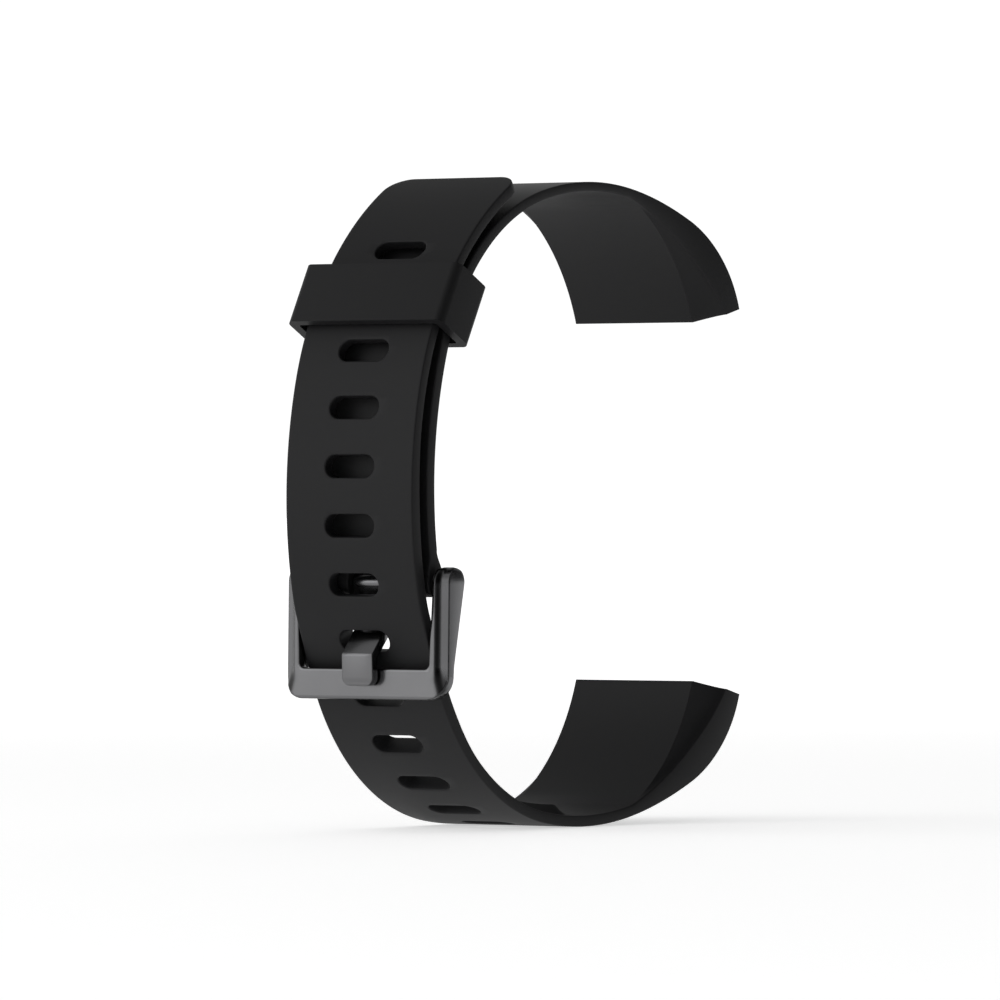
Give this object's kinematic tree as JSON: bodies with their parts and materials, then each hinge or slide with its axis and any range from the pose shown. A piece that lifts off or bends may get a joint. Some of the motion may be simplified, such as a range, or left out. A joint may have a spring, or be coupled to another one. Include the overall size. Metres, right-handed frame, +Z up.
{
  "type": "fitness tracker band",
  "caption": "Two-piece silicone wrist band for a fitness tracker, buckled in a loop, with a sliding keeper, a metal pin buckle and sockets for the tracker in its thick ends.",
  "frame": {"origin": "on the floor under the middle of the loop, halfway across the strap", "axes": "+X from the buckle side towards the gap for the tracker, +Y across the strap towards the far edge, +Z up"},
  "size_m": [0.056, 0.0202, 0.0669],
  "materials": {
    "silicone": "black moulded silicone with a soft satin face",
    "gunmetal": "dark grey plated metal with a satin polish",
    "steel": "plain turned steel"
  },
  "bodies": {
    "closed_strap": {"hole_strap": "silicone", "buckle_strap": "silicone", "spring_bar_tube": "steel", "spring_bar_spring": "steel"},
    "buckle": {"buckle_frame": "gunmetal"},
    "tongue": {"buckle_tongue": "gunmetal"},
    "keeper": {"keeper_loop": "silicone"},
    "near_tip": {"near_spring_tip": "steel"},
    "far_tip": {"far_spring_tip": "steel"}
  },
  "joints": [
    {"name": "buckle_hinge", "type": "hinge", "parent": "closed_strap", "child": "buckle", "pos_m": [-0.02371, 0, 0.02536], "axis": [0, 1, 0], "range_deg": [0, 3]},
    {"name": "tongue_hinge", "type": "hinge", "parent": "buckle", "child": "tongue", "pos_m": [-0.02371, 0, 0.02536], "axis": [0, 1, 0], "range_deg": [0, 3]},
    {"name": "keeper_slide", "type": "hinge", "parent": "closed_strap", "child": "keeper", "pos_m": [0.00292, 0, 0.03941], "axis": [0, 1, 0], "range_deg": [-6, 22]},
    {"name": "near_tip_press", "type": "slide", "parent": "closed_strap", "child": "near_tip", "axis": [0, 1, 0], "range_m": [0, 0.0011], "stiffness_N_per_m": 400, "springref_m": -0.002, "deforming": ["spring_bar_spring"]},
    {"name": "far_tip_press", "type": "slide", "parent": "closed_strap", "child": "far_tip", "axis": [0, -1, 0], "range_m": [0, 0.0011], "stiffness_N_per_m": 400, "springref_m": -0.002, "deforming": ["spring_bar_spring"]}
  ]
}
